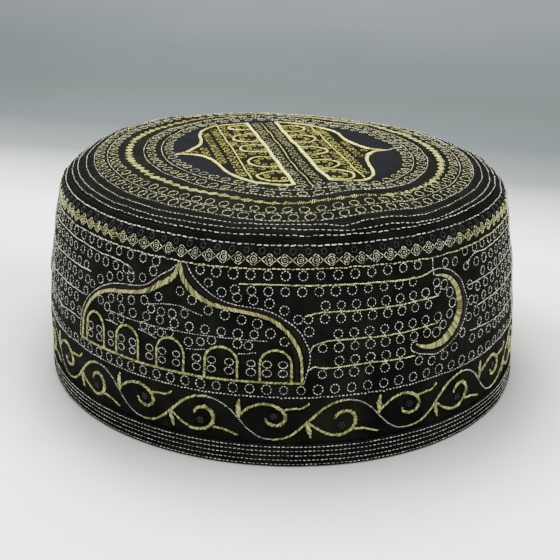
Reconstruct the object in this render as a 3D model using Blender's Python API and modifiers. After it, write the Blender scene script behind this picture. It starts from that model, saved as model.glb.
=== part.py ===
# Embroidered prayer cap: an oval crown panel, a tall side band and a folded hem band round the mouth.
# Units are metres and +Z is up. The wearer looks along -Y, and the origin is the middle of the mouth.
import math
from collections import namedtuple

import bpy

# The mouth's outline is an ellipse, longer from front to back than from side to side.
MOUTH_HALF_WIDTH = 0.0896
MOUTH_HALF_LENGTH = 0.0966
COLUMNS = 96

CLOTH_GAP = 0.0003
BAND_THICKNESS = 0.0018
CROWN_THICKNESS = 0.0018

# The hem is one strip folded round the band's lower edge, a little proud of the band.
HEM_HEIGHT = 0.0079
HEM_CLOTH = 0.0008
HEM_PROUD = 0.00045
HEM_CORNER = 0.0008
HEM_INNER_DROP = 0.0006
TUCK_LENGTH = 0.0006

# The crown rises a little towards the front, in metres for each metre along -Y.
CROWN_LEAN = 0.012

# A ring of the cap's outer surface. Its insets are how far it lies inside the mouth's outline, at the sides
# and at the front and back. Its two shares say how much it takes of what the crown's folds do at the crown's
# edge and further in, and their sum is its share of the crown's lean.
Ring = namedtuple("Ring", "name side_inset end_inset height edge_share inner_share")

BAND_RINGS = [
    Ring("lower line of stitches", 0.0000, 0.0007, 0.0252, 0.0, 0.0),
    Ring("middle of the band", 0.0018, 0.0017, 0.0448, 0.0, 0.0),
    Ring("upper middle", 0.0038, 0.0026, 0.0570, 0.0, 0.0),
    Ring("upper line of stitches", 0.0056, 0.0034, 0.0671, 0.0, 0.0),
    Ring("diamond row", 0.0066, 0.0039, 0.0712, 0.0, 0.0),
    Ring("start of the shoulder", 0.0086, 0.0052, 0.0742, 0.1, 0.0),
]
SEAM_LOW = Ring("below the seam", 0.0101, 0.0058, 0.0758, 0.3, 0.0)
SEAM_HIGH = Ring("above the seam", 0.0119, 0.0068, 0.07695, 0.6, 0.0)
CROWN_RINGS = [
    Ring("turned edge", 0.0140, 0.0079, 0.07785, 0.8, 0.0),
    Ring("outer stitch row", 0.0167, 0.0099, 0.0788, 0.9, 0.0),
    Ring("inner stitch row", 0.0199, 0.0128, 0.0796, 0.9, 0.1),
    Ring("ring embroidery", 0.0249, 0.0179, 0.0806, 0.6, 0.4),
    Ring("gold ring", 0.0324, 0.0253, 0.0815, 0.1, 0.9),
    Ring("inner ring", 0.0433, 0.0363, 0.0820, 0.0, 0.7),
    Ring("bare oval", 0.0650, 0.0620, 0.0824, 0.0, 0.2),
]
CROWN_TOP = 0.0826

# A soft fold in the crown's cloth. Its angle is from the front towards +X, and its rises are along its
# middle, at the crown's edge and further in. A dip has a rise below zero.
Fold = namedtuple("Fold", "name angle_deg width_deg edge_rise inner_rise")
CROWN_FOLDS = [
    Fold("front ridge", 1.0, 8.0, 0.0012, 0.0018),
    Fold("dip beside the ridge", -26.0, 10.0, -0.0008, -0.0003),
    Fold("back left rise", -146.0, 20.0, 0.0018, -0.0004),
    Fold("back right dip", 137.0, 14.0, -0.0008, -0.0008),
]

BLACK_CLOTH = (0.012, 0.013, 0.016, 1.0)
CROWN_CLOTH = (0.020, 0.022, 0.022, 1.0)
HEM_BLACK = (0.009, 0.009, 0.011, 1.0)


def clear_scene():
    for scene_object in list(bpy.data.objects):
        bpy.data.objects.remove(scene_object, do_unlink=True)


def make_collection(name):
    collection = bpy.data.collections.new(name)
    bpy.context.scene.collection.children.link(collection)
    return collection


def make_cloth(name, color, roughness):
    material = bpy.data.materials.new(name)
    material.use_nodes = True
    shader = material.node_tree.nodes["Principled BSDF"]
    shader.inputs["Base Color"].default_value = color
    shader.inputs["Roughness"].default_value = roughness
    shader.inputs["Metallic"].default_value = 0.0
    return material


def fold_rise(ring, angle):
    rise = 0.0
    for fold in CROWN_FOLDS:
        apart = (math.degrees(angle) - fold.angle_deg + 180.0) % 360.0 - 180.0
        height = ring.edge_share * fold.edge_rise + ring.inner_share * fold.inner_rise
        rise += height * math.exp(-0.5 * (apart / fold.width_deg) ** 2)
    return rise


def ring_points(ring, outward=0.0):
    # Column angles run from the front (-Y) towards +X, so that the rings turn anticlockwise from above.
    half_width = MOUTH_HALF_WIDTH - ring.side_inset + outward
    half_length = MOUTH_HALF_LENGTH - ring.end_inset + outward
    lean = CROWN_LEAN * (ring.edge_share + ring.inner_share)
    points = []
    for column in range(COLUMNS):
        angle = 2.0 * math.pi * column / COLUMNS
        x = half_width * math.sin(angle)
        y = -half_length * math.cos(angle)
        z = ring.height + fold_rise(ring, angle) - lean * y
        points.append((x, y, z))
    return points


def between(low, high, share):
    # The ring that lies the given share of the way from the low ring to the high one.
    values = [a + (b - a) * share for a, b in zip(low[1:], high[1:])]
    return Ring("between", *values)


def seam_edge(direction):
    # The cloth's edge at the seam, half a gap below its middle with direction -1 and above it with 1.
    # The gap is measured at the cap's front, where the two rings are closest together.
    run = math.hypot(SEAM_HIGH.end_inset - SEAM_LOW.end_inset, SEAM_HIGH.height - SEAM_LOW.height)
    return between(SEAM_LOW, SEAM_HIGH, 0.5 + direction * 0.5 * CLOTH_GAP / run)


def loft_shell(name, rows, thickness, material, collection, top_point=None):
    # The open surface through the rows, each a closed ring of points from the bottom up, with its faces
    # outwards. Solidify gives it its thickness on the inside.
    vertices = [point for row in rows for point in row]
    faces = []
    for row in range(len(rows) - 1):
        for column in range(COLUMNS):
            right = (column + 1) % COLUMNS
            low = row * COLUMNS
            high = low + COLUMNS
            faces.append((low + column, low + right, high + right, high + column))
    if top_point is not None:
        vertices.append(top_point)
        last = (len(rows) - 1) * COLUMNS
        for column in range(COLUMNS):
            right = (column + 1) % COLUMNS
            faces.append((last + column, last + right, len(vertices) - 1))
    mesh = bpy.data.meshes.new(name)
    mesh.from_pydata(vertices, [], faces)
    mesh.materials.append(material)
    mesh.shade_smooth()
    shell = bpy.data.objects.new(name, mesh)
    collection.objects.link(shell)
    solidify = shell.modifiers.new("cloth thickness", "SOLIDIFY")
    solidify.thickness = thickness
    solidify.offset = -1.0
    solidify.use_even_offset = True
    return shell


def make_side_band(material, collection):
    mouth = Ring("mouth", 0.0, 0.0, 0.0, 0.0, 0.0)
    height_share = HEM_HEIGHT / BAND_RINGS[0].height
    hem_top = between(mouth, BAND_RINGS[0], height_share)
    tuck_end = between(mouth, BAND_RINGS[0], height_share + TUCK_LENGTH / BAND_RINGS[0].height)
    # Inside the hem the band steps in by the hem's outer cloth and a gap, less what stands proud.
    tuck = HEM_PROUD - HEM_CLOTH - CLOTH_GAP
    edge = mouth._replace(height=HEM_CLOTH + CLOTH_GAP)
    rows = [
        ring_points(edge, tuck),
        ring_points(hem_top, tuck),
        ring_points(tuck_end),
    ]
    rows += [ring_points(ring) for ring in BAND_RINGS]
    rows.append(ring_points(SEAM_LOW))
    rows.append(ring_points(seam_edge(-1.0)))
    return loft_shell("side_band", rows, BAND_THICKNESS, material, collection)


def make_crown(material, collection):
    rows = [ring_points(seam_edge(1.0)), ring_points(SEAM_HIGH)]
    rows += [ring_points(ring) for ring in CROWN_RINGS]
    return loft_shell("crown", rows, CROWN_THICKNESS, material, collection, (0.0, 0.0, CROWN_TOP))


def make_hem_band(material, collection):
    # From the inner leg's top, down, under the band's edge and up to the outer leg's top.
    outer = HEM_PROUD
    inner = HEM_PROUD - HEM_CLOTH * 2.0 - CLOTH_GAP * 2.0 - BAND_THICKNESS
    section = [
        (inner, HEM_HEIGHT - HEM_INNER_DROP),
        (inner, HEM_CORNER),
        (inner + HEM_CORNER, 0.0),
        (outer - HEM_CORNER, 0.0),
        (outer, HEM_CORNER),
        (outer, HEM_HEIGHT),
    ]
    rows = []
    for outward, height in section:
        ring = Ring("hem", 0.0, 0.0, height, 0.0, 0.0)
        rows.append(ring_points(ring, outward))
    return loft_shell("hem_band", rows, HEM_CLOTH, material, collection)


def main():
    clear_scene()
    collection = make_collection("prayer_cap")
    make_crown(make_cloth("crown cloth", CROWN_CLOTH, 0.85), collection)
    make_side_band(make_cloth("band cloth", BLACK_CLOTH, 0.88), collection)
    make_hem_band(make_cloth("hem cloth", HEM_BLACK, 0.88), collection)


main()
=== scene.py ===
# Tall oval prayer cap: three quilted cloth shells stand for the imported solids, and all the stitching lies on them.
import bpy
import numpy as np
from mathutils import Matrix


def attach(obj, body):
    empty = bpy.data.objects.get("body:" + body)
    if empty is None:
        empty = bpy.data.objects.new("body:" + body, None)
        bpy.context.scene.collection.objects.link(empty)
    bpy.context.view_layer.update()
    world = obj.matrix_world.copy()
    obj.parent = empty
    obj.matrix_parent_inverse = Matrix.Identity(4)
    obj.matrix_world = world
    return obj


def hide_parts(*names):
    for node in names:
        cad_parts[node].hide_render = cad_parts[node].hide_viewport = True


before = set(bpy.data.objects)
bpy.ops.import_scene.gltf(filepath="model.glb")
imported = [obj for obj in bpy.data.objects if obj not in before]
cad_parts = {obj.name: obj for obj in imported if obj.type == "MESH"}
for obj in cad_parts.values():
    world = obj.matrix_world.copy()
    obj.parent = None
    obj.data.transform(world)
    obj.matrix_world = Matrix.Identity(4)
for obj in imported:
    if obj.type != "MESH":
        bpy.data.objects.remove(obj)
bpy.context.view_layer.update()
dice = np.random.default_rng(57)  # every small unevenness of the handwork comes from here


def putInScene(name, data, place=(0.0, 0.0, 0.0), rotation=(0.0, 0.0, 0.0)):
    made = bpy.data.objects.new(name, data)
    bpy.context.scene.collection.objects.link(made)
    made.location, made.rotation_euler = place, rotation
    return made


# The camera looks down on the cap from its front right, from a little above a table.
camera = {
    "place": (-140.2, -384.2, 185.0),  # mm from the middle of the mouth
    "heading": 20.05,                  # degrees from +Y towards +X
    "down": 20.91,                     # degrees below the horizon
    "lens": 70.41,
}
eye = bpy.data.cameras.new("eye")
eye.lens, eye.clip_start, eye.clip_end = camera["lens"], 0.02, 20.0
bpy.context.scene.camera = putInScene("eye", eye, [c * 0.001 for c in camera["place"]],
                                      (np.radians(90.0 - camera["down"]), 0.0, np.radians(-camera["heading"])))
print("camera placed")

# The cap's outer form, in mm: rings from the mouth up, the same ones that the solids are lofted through.
cap = {
    "halfWidth": 89.6, "halfLength": 96.6, "lean": 0.012,
    # inset at the sides, inset at the ends, height, share of the edge folds, share of the inner folds
    "rings": [
        (0, 0, 0, 0, 0), (0, 0.7, 25.2, 0, 0), (1.8, 1.7, 44.8, 0, 0), (3.8, 2.6, 57, 0, 0), (5.6, 3.4, 67.1, 0, 0),
        (6.6, 3.9, 71.2, 0, 0), (8.6, 5.2, 74.2, 0.1, 0), (10.1, 5.8, 75.8, 0.3, 0), (11.9, 6.8, 76.95, 0.6, 0),
        (14, 7.9, 77.85, 0.8, 0), (16.7, 9.9, 78.8, 0.9, 0), (19.9, 12.8, 79.6, 0.9, 0.1),
        (24.9, 17.9, 80.6, 0.6, 0.4), (32.4, 25.3, 81.5, 0.1, 0.9), (43.3, 36.3, 82, 0, 0.7), (65, 62, 82.4, 0, 0.2),
        (89.6, 96.6, 82.6, 0, 0),
    ],
    # degrees from the front towards +X, width, rise at the crown's edge, rise further in
    "folds": [(1, 8, 1.2, 1.8), (-26, 10, -0.8, -0.3), (-146, 20, 1.8, -0.4), (137, 14, -0.8, -0.8)],
    "seam": 77.2,     # how far up the profile the crown is sewn to the band
    "cloth": 1.8,     # thickness of the quilted cloth
}
rings = np.array(cap["rings"])
# distance up the profile at each ring, by the mean of the two insets
upTo = np.append(0.0, np.cumsum(np.hypot(np.diff(rings[:, :2].mean(axis=1)), np.diff(rings[:, 2]))))
pole = upTo[-1]


def lengthAlong(path):
    # distance run along a path, at each of its points
    return np.append(0.0, np.cumsum(np.linalg.norm(np.diff(path, axis=0), axis=1)))


def pointsAt(path, length, at):
    return np.stack([np.interp(at, length, path[:, k]) for k in range(2)], axis=-1)


def smoothThrough(x, knots, values):
    # a cubic between each two knots; its slope at a knot is the mean of the slopes on both sides, the nearer one
    # counting for more
    step = np.diff(knots)
    rise = np.diff(values, axis=0) / step[:, None]
    slope = np.vstack([rise[:1], (rise[:-1] * step[1:, None] + rise[1:] * step[:-1, None])
                       / (step[1:] + step[:-1])[:, None], rise[-1:]])
    i = np.clip(np.searchsorted(knots, x) - 1, 0, len(step) - 1)
    t = ((x - knots[i]) / step[i])[..., None]
    w = step[i][..., None]
    return ((2 * t**3 - 3 * t**2 + 1) * values[i] + (t**3 - 2 * t**2 + t) * w * slope[i]
            + (3 * t**2 - 2 * t**3) * values[i + 1] + (t**3 - t**2) * w * slope[i + 1])


fineUp = np.linspace(0.0, pole, 3300)
fineRings = smoothThrough(fineUp, upTo, rings)


def bell(x, width):
    return np.exp(-0.5 * (x / width) ** 2)


def bareCap(turn, up):
    # ellipse of half width and half length less the insets at that height up the profile, with the crown's folds
    # as bell curves over the turn and its lean as a share of y
    side, end, height, edge, inner = (np.interp(up, fineUp, fineRings[:, k]) for k in range(5))
    x = (cap["halfWidth"] - side) * np.sin(turn)
    y = -(cap["halfLength"] - end) * np.cos(turn)
    for angle, width, edgeRise, innerRise in cap["folds"]:
        off = (np.degrees(turn) - angle + 180.0) % 360.0 - 180.0
        height = height + (edge * edgeRise + inner * innerRise) * bell(off, width)
    return np.stack([x, y, height - cap["lean"] * (edge + inner) * y], axis=-1)


def bareNormal(turn, up):
    # the bare form and its normal, the cross product of the slopes along and up, taken by small differences
    along = bareCap(turn + 0.004, up) - bareCap(turn - 0.004, up)
    rise = bareCap(turn, np.minimum(up + 0.3, pole)) - bareCap(turn, up - 0.3)
    normal = np.cross(along, rise)
    return bareCap(turn, up), normal / np.maximum(np.linalg.norm(normal, axis=-1, keepdims=True), 1e-9)


aroundTurn = np.linspace(-np.pi, np.pi, 7201)
aroundLength = lengthAlong(bareCap(aroundTurn, 0.0 * aroundTurn))
mouthRound = aroundLength[-1]
aroundLength -= mouthRound / 2


def turnAt(along):
    # the turn at a distance along the mouth from the middle of the front, in mm towards +X
    return np.interp((along + mouthRound / 2) % mouthRound - mouthRound / 2, aroundLength, aroundTurn)


def onBand(flat):
    # a point of the side band's flat pattern: mm along the mouth, mm up the profile
    return np.stack([turnAt(flat[..., 0]), flat[..., 1]], axis=-1)


def onCrown(flat):
    # a point seen from above, x and y in mm: the profile distance where the cap's ellipse passes through it,
    # found by halving
    x, y = flat[..., 0], flat[..., 1]
    low, high = np.full(x.shape, 60.0), np.full(x.shape, pole - 0.5)
    for _ in range(18):
        middle = (low + high) / 2
        a = cap["halfWidth"] - np.interp(middle, fineUp, fineRings[:, 0])
        b = cap["halfLength"] - np.interp(middle, fineUp, fineRings[:, 1])
        outside = (x / a) ** 2 + (y / b) ** 2 < 1.0
        low, high = np.where(outside, middle, low), np.where(outside, high, middle)
    return np.stack([np.arctan2(x / a, -y / b), middle], axis=-1)


# The quilting: rows of stitches pull the cloth in, and it stands up softly between them. All in mm.
quilting = {
    # up the profile, depth
    "rows": [
        (25.2, 0.28), (67.4, 0.22), (75.3, 0.3), (78.5, 0.3), (81, 0.28), (83.7, 0.28), (86.3, 0.22), (91.6, 0.22),
        (99.5, 0.25), (105, 0.22), (111, 0.22),
    ],
    "rowWidth": 0.75,
    "hemRows": [7.25, 5.75, 4.15, 2.5, 0.95],
    "hemRowWidth": 0.33, "hemTop": 7.9, "hemProud": 0.45, "hemRib": 0.30,
    "hemRoll": (0.7, 0.5),     # the hem's upper edge rolls in: over how much of its height, and how deep
    "hemSoftness": 0.25,       # share of the other unevenness that shows on the firm hem
    "swell": 0.16,      # soft unevenness of the padding
    "pucker": 0.07,     # gathers beside the stitches
}
swellWaves = dice.normal(size=(14, 3)) * 0.22      # radians per mm
swellPhase = dice.uniform(0, 2 * np.pi, 14)
puckerWaves = dice.normal(size=(10, 3)) * 0.9
puckerPhase = dice.uniform(0, 2 * np.pi, 10)


def relief(turn, up, place):
    # depth of each stitched row as a narrow bell, plus sums of sine waves through space for swell and puckers;
    # on the hem the cloth stands out in a rib between each two rows
    out = np.zeros(np.shape(turn))
    for row, depth in quilting["rows"]:
        out = out - depth * bell(up - row, quilting["rowWidth"])
    out = out + quilting["swell"] * np.sin(place @ swellWaves.T + swellPhase).sum(axis=-1) / 3.0
    out = out + quilting["pucker"] * np.sin(place @ puckerWaves.T + puckerPhase).sum(axis=-1) / 2.5
    hem = np.full(np.shape(up), quilting["hemProud"] + quilting["hemRib"])
    for row in quilting["hemRows"]:
        hem = hem - quilting["hemRib"] * bell(up - row, quilting["hemRowWidth"])
    tall, deep = quilting["hemRoll"]
    hem = hem - deep * np.clip((up - quilting["hemTop"] + tall) / tall, 0.0, 1.0) ** 2
    return np.where(up < quilting["hemTop"] + 0.02, hem + quilting["hemSoftness"] * out, out)


def surface(turn, up):
    # the cloth's outer face: the bare form moved out by the relief along its normal
    place, normal = bareNormal(turn, up)
    return place + normal * relief(turn, up, place)[..., None], normal


def makeMesh(name, points, faces, material, uv, shade=None):
    # whole arrays into a mesh: points in mm, faces all with the same number of corners
    mesh = bpy.data.meshes.new(name)
    mesh.vertices.add(len(points))
    mesh.vertices.foreach_set("co", (points * 0.001).astype(np.float32).ravel())
    mesh.loops.add(faces.size)
    mesh.loops.foreach_set("vertex_index", faces.astype(np.int32).ravel())
    mesh.polygons.add(len(faces))
    mesh.polygons.foreach_set("loop_start", np.arange(len(faces), dtype=np.int32) * faces.shape[1])
    mesh.update(calc_edges=True)
    mesh.polygons.foreach_set("use_smooth", np.ones(len(faces), dtype=bool))
    mesh.uv_layers.new(name="flat").data.foreach_set("uv", uv[faces.ravel()].astype(np.float32).ravel())
    if shade is not None:
        mesh.attributes.new("shade", "FLOAT", "POINT").data.foreach_set("value", shade.astype(np.float32))
    mesh.materials.append(material)
    mesh.validate()
    return putInScene(name, mesh)


def fromHex(code):
    # sRGB hex to linear colour
    c = np.array([int(code[k:k + 2], 16) for k in (1, 3, 5)]) / 255
    return (*np.where(c <= 0.04045, c / 12.92, ((c + 0.055) / 1.055) ** 2.4), 1.0)


def addNode(tree, kind, values=None, links=None, **settings):
    # one node with its settings, its sockets' values, and its links as socket: (node, output)
    made = tree.nodes.new("ShaderNode" + kind)
    for key, value in settings.items():
        setattr(made, key, value)
    for key, value in (values or {}).items():
        made.inputs[key].default_value = value
    for key, (source, output) in (links or {}).items():
        tree.links.new(source.outputs[output], made.inputs[key])
    return made


def maths(tree, operation, values, links):
    return addNode(tree, "Math", values, links, operation=operation)


def startMaterial(name):
    made = bpy.data.materials.new(name)
    made.use_nodes = True
    made.node_tree.nodes.clear()
    return made, made.node_tree


def endMaterial(tree, values, links):
    shader = addNode(tree, "BsdfPrincipled", values, links)
    addNode(tree, "OutputMaterial", links={"Surface": (shader, "BSDF")})


def colourRamp(tree, source, output, stops):
    ramp = addNode(tree, "ValToRGB", links={"Fac": (source, output)})
    ramp.color_ramp.elements[0].position, ramp.color_ramp.elements[1].position = stops[0][0], stops[-1][0]
    for place, code in stops[1:-1]:
        ramp.color_ramp.elements.new(place)
    for element, (place, code) in zip(ramp.color_ramp.elements, stops):
        element.color = fromHex(code)
    return ramp


# Plain woven cotton sateen, dyed black and quilted over a thin wadding: matt, with a faint bloom at grazing
# angles, and a fine cross of threads. Real threads lie 0.3 mm apart; they are drawn 0.75 mm apart to show.
# smooth is a lighter bluish colour painted where the cloth lies smooth: a painted sheen, beside the real sheen of
# smoothBloom
blackSateen = {"deep": "#030302", "face": "#0b0b0a", "worn": "#181913", "smooth": "#0d0e12",
               "bloom": 0.003, "smoothBloom": 0.005, "threadGap": 0.75, "roughness": 0.75, "gloss": 0.015}
# The crown's cloth, which more light has faded: a little browner.
crownBlackSateen = {**blackSateen, "deep": "#050503", "face": "#0b0b08", "worn": "#14140d"}


def makeBlackSateen(name, look):
    made, tree = startMaterial(name)
    uv = addNode(tree, "UVMap", uv_map="flat")
    # a wave texture of scale 1 repeats every 0.314 units
    wave = {"Scale": 0.314 / look["threadGap"], "Distortion": 0.6, "Detail": 1.0, "Detail Scale": 2.0}
    warp, weft = (addNode(tree, "TexWave", wave, {"Vector": (uv, "UV")}, bands_direction=way) for way in "XY")
    weave = maths(tree, "MULTIPLY", {}, {0: (warp, "Fac"), 1: (weft, "Fac")})
    space = addNode(tree, "TexCoord")
    cloud = addNode(tree, "TexNoise", {"Scale": 90.0, "Detail": 4.0, "Roughness": 0.6},
                    {"Vector": (space, "Object")})
    creases = addNode(tree, "TexNoise", {"Scale": 420.0, "Detail": 3.0, "Roughness": 0.55},
                      {"Vector": (space, "Object")})
    tone = maths(tree, "MULTIPLY", {1: 0.45}, {0: (weave, "Value")})
    tone = maths(tree, "ADD", {}, {0: (tone, "Value"), 1: (cloud, "Fac")})
    tone = maths(tree, "SUBTRACT", {1: 0.12}, {0: (tone, "Value")})
    colour = colourRamp(tree, tone, "Value", [(0.25, look["deep"]), (0.5, look["face"]), (0.85, look["worn"])])
    # where no stitches roughen it the cloth lies smooth and shows a bluish bloom: a real sheen, with its bluish tint
    # also painted into the colour
    bare = addNode(tree, "Attribute", attribute_name="shade", attribute_type="GEOMETRY")
    mixed = addNode(tree, "Mix", {7: fromHex(look["smooth"])}, {"Factor": (bare, "Fac"), 6: (colour, "Color")},
                    data_type="RGBA")
    bloom = maths(tree, "MULTIPLY_ADD", {1: look["smoothBloom"], 2: look["bloom"]}, {0: (bare, "Fac")})
    bumpSmall = addNode(tree, "Bump", {"Strength": 0.35, "Distance": 0.0002}, {"Height": (weave, "Value")})
    bumpCrease = addNode(tree, "Bump", {"Strength": 0.55, "Distance": 0.0009},
                         {"Height": (creases, "Fac"), "Normal": (bumpSmall, "Normal")})
    endMaterial(tree, {"Roughness": look["roughness"], "Specular IOR Level": look["gloss"], "Sheen Roughness": 0.45,
                       "Sheen Tint": fromHex("#9a9c98")},
                {"Base Color": (mixed, 2), "Sheen Weight": (bloom, "Value"), "Normal": (bumpCrease, "Normal")})
    return made


# Twisted embroidery threads. Their two plies wind round each other, so each stitch catches the light in slanting
# lines; these lines of light, and the shade between the plies, are painted into the colour as well as raised by a
# bump.
# The ply is really 0.15 mm wide and is drawn 0.3 mm wide.
threads = {
    # dark, face and light colour, how metallic, roughness, gloss; each stitch's random tone and the painted light and
    # shade of its plies move between dark and light
    "goldFoil": ("#1e1f10", "#6b6c3a", "#bdc07b", 0.20, 0.38, 0.4),         # foil on a core: metallic glints, with painted light along the plies, dark between
    "paleGoldRayon": ("#3a3a25", "#949561", "#d8d89a", 0.10, 0.42, 0.5),
    "creamRayon": ("#434332", "#9d9d80", "#dedebe", 0.05, 0.42, 0.5),
    "silverRayon": ("#4c4e45", "#989a8d", "#d6d8ca", 0.05, 0.42, 0.5),      # silky and nearly white
    "maroonRayon": ("#030101", "#0c0404", "#180706", 0.0, 0.6, 0.1),        # a dark shade between gold and white
    "brightGoldFoil": ("#383610", "#a6a33e", "#f1eb66", 0.30, 0.36, 0.3),   # the crown's yellow gold; its glints are metallic, helped by painted ply light
    "brightGoldRayon": ("#3c3a18", "#97923f", "#dcd66c", 0.05, 0.42, 0.4),
    "smokeRayon": ("#0b0b0e", "#16161b", "#2b2a31", 0.0, 0.5, 0.3),         # hardly lighter than the cloth
}


def makeThread(name, dark, face, light, metallic, roughness, gloss):
    made, tree = startMaterial(name)
    shade = addNode(tree, "Attribute", attribute_name="shade", attribute_type="GEOMETRY")
    uv = addNode(tree, "UVMap", uv_map="flat")
    ply = addNode(tree, "TexWave", {"Scale": 1.05, "Distortion": 0.4}, {"Vector": (uv, "UV")},
                  bands_direction="DIAGONAL")
    # the ply wave paints light on each ply and shade between the plies into the colour, over each stitch's random
    # tone
    tone = maths(tree, "MULTIPLY_ADD", {1: 0.22}, {0: (ply, "Fac"), 2: (shade, "Fac")})
    colour = colourRamp(tree, tone, "Value", [(0.15, dark), (0.55, face), (0.95, light)])
    bump = addNode(tree, "Bump", {"Strength": 0.5, "Distance": 0.00012}, {"Height": (ply, "Fac")})
    endMaterial(tree, {"Roughness": roughness, "Metallic": metallic, "Specular IOR Level": gloss},
                {"Base Color": (colour, "Color"), "Normal": (bump, "Normal")})
    return made


sateen = makeBlackSateen("black quilted cotton sateen", blackSateen)
crownSateen = makeBlackSateen("sun-worn black quilted cotton sateen", crownBlackSateen)
thread = {name: makeThread(f"{name} embroidery thread", *look) for name, look in threads.items()}
print("materials mixed")

columns = 480     # points round each ring of cloth
columnTurn = 2 * np.pi * np.arange(columns) / columns


def gridFaces(rows):
    # four corners for each cell of a grid whose columns run round and join, and whose last row joins the first
    r, c = np.arange(rows)[:, None], np.arange(columns)[None, :]
    low, high, right = r * columns, (r + 1) % rows * columns, (c + 1) % columns
    return np.stack([low + c, low + right, high + right, high + c], axis=-1).reshape(-1, 4)


def clothRows(rows):
    # rings of cloth round the cap, from rows of mm up the profile, mm out from the bare form and share of the relief
    up, out, share = (np.array(rows)[:, k][:, None] + 0.0 * columnTurn[None, :] for k in range(3))
    turn = columnTurn[None, :] + 0.0 * up
    place, normal = bareNormal(turn, up)
    points = place + normal * (out + share * relief(turn, up, place))[..., None]
    return points.reshape(-1, 3), turn, up, out


def clothLoop(name, rows):
    # a closed tube of cloth round the cap, first up its outer face and then down its inner one
    points, turn, up, out = clothRows(rows)
    uv = np.stack([turn * mouthRound / (2 * np.pi), up + out], axis=-1)
    return makeMesh(name, points, gridFaces(len(rows)), sateen, uv.reshape(-1, 2))


# The hem: one strip folded round the band's lower edge. Its outer leg is ribbed by the rows of running stitch.
hem = {"cloth": 0.8, "depth": 4.0, "innerTop": 7.3, "innerRib": 0.18}


def makeHemCloth():
    # the section is a U: outer face up, over its edge, down behind, along the web, up the inner leg and back down
    top, proud, innerTop = quilting["hemTop"], quilting["hemProud"], hem["innerTop"]
    deep = proud - hem["depth"]
    behind, before = proud - hem["cloth"], deep + hem["cloth"]
    rows = [(u, 0.0, 1.0) for u in np.arange(0.55, top + 0.001, 0.35)]
    rows += [(top + 0.18, -0.08, 0.0), (top + 0.15, -0.30, 0.0), (top, behind, 0.0)]
    rows += [(u, behind, 0.0) for u in (6.0, 3.0, 1.4)]
    rows += [(0.95, behind - 0.4, 0.0), (0.9, -1.5, 0.0), (0.95, before + 0.4, 0.0)]
    rows += [(u, before, 0.0) for u in (1.4, 3.0, 6.0, innerTop)]
    rows += [(innerTop + 0.15, deep + 0.5, 0.0), (innerTop + 0.15, deep + 0.2, 0.0)]
    inner = np.arange(innerTop - 0.1, 0.9, -0.35)
    ribs = sum(hem["innerRib"] * bell(inner - row, quilting["hemRowWidth"]) for row in quilting["hemRows"])
    rows += [(u, deep + rib, 0.0) for u, rib in zip(inner, ribs)]
    rows += [(0.55, deep + 0.08, 0.0), (0.25, deep + 0.3, 0.0), (0.05, deep + 0.7, 0.0)]
    rows += [(0.0, out, 0.0) for out in (-2.4, -1.6, -0.9)]
    rows += [(0.05, proud - 0.55, 0.0), (0.22, proud - 0.22, 0.0)]
    return clothLoop("hem_cloth", rows)


def seamEdge(side):
    # the cloth turned in by its own thickness just beside the seam: side is -1 below it and 1 above
    rows = ((0.2, -0.02, 0.95), (0.06, -0.15, 0.8), (0.08, -0.8, 0.0), (0.3, 0.2 - cap["cloth"], 0.0))
    return [(cap["seam"] + side * up, out, share) for up, out, share in rows]


def makeBandCloth():
    # outer face from inside the hem up to the seam, and the inner face back down, a cloth's thickness in
    seam, thick = cap["seam"], cap["cloth"]
    rows = [(1.4, -0.68, 0.0), (4.5, -0.68, 0.0), (7.4, -0.68, 0.0), (8.0, -0.50, 0.5), (8.4, -0.15, 1.0)]
    rows += [(u, 0.0, 1.0) for u in np.append(np.arange(8.9, 73.4, 0.95), np.arange(73.6, seam - 0.5, 0.45))]
    rows += seamEdge(-1) + [(seam - 0.8, -thick, 0.0), (74.5, -thick, -0.3), (71.5, -thick, -0.3)]
    rows += [(u, -thick, -0.4) for u in (*np.arange(69.0, 26.0, -2.4), 25.9, 25.2, 24.5, 22.0, 18.0, 14.0, 10.0)]
    rows += [(7.4, -thick - 0.65, 0.0), (4.5, -thick - 0.68, 0.0), (1.4, -thick - 0.68, 0.0)]
    return clothLoop("band_cloth", rows)


smoothOval = {"from": 112.5, "over": 3.5}    # inside the rings no stitches roughen the crown: mm up the profile


def makeCrownCloth():
    # outer face from the seam to the pole as rings, the inner face a cloth's thickness below, joined at the seam
    # and closed at both poles by a fan
    seam, thick = cap["seam"], cap["cloth"]
    outer = seamEdge(1)[::-1]
    outer += [(u, 0.0, 1.0) for u in (*np.arange(seam + 0.7, 88.0, 0.45), *np.arange(88.2, 116.0, 0.8),
                                      *np.arange(117.0, pole - 1.5, 2.2))]
    inner = [(u, -thick, -0.3) for u in (*np.arange(pole - 4.0, 92.0, -5.0), *np.arange(90.0, seam + 1.0, -1.6))]
    points, turn, up, out = clothRows(outer + inner)
    middle = bareCap(np.zeros(1), np.full(1, pole))[0]
    lifted = relief(np.zeros(1), np.full(1, pole), middle[None])[0]
    poles = np.array([middle + (0, 0, lifted), middle - (0, 0, thick + 0.3 * lifted)])
    # the outer face's last ring isn't joined to the inner face's first one, but each to its pole
    quads = gridFaces(len(outer + inner))
    quads = quads[np.arange(len(quads)) // columns != len(outer) - 1]
    c, count = np.arange(columns), np.full(columns, len(points))
    last, right = (len(outer) - 1) * columns, (c + 1) % columns
    inward = last + columns
    fans = [np.stack(corners, axis=-1) for corners in ((last + c, last + right, count),
                                                       (inward + right, inward + c, count + 1))]
    triangles = np.vstack([quads[:, [0, 1, 2]], quads[:, [0, 2, 3]]] + fans)
    points = np.vstack([points, poles])
    bare = np.append(np.clip((up.ravel() - smoothOval["from"]) / smoothOval["over"], 0.0, 1.0), [1.0, 1.0])
    return makeMesh("crown_cloth", points, triangles, crownSateen, points[:, :2], bare), points, bare


hemCloth, bandCloth = makeHemCloth(), makeBandCloth()
crownCloth, crownSpots, crownBare = makeCrownCloth()
print("cloth cut and quilted")


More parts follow.
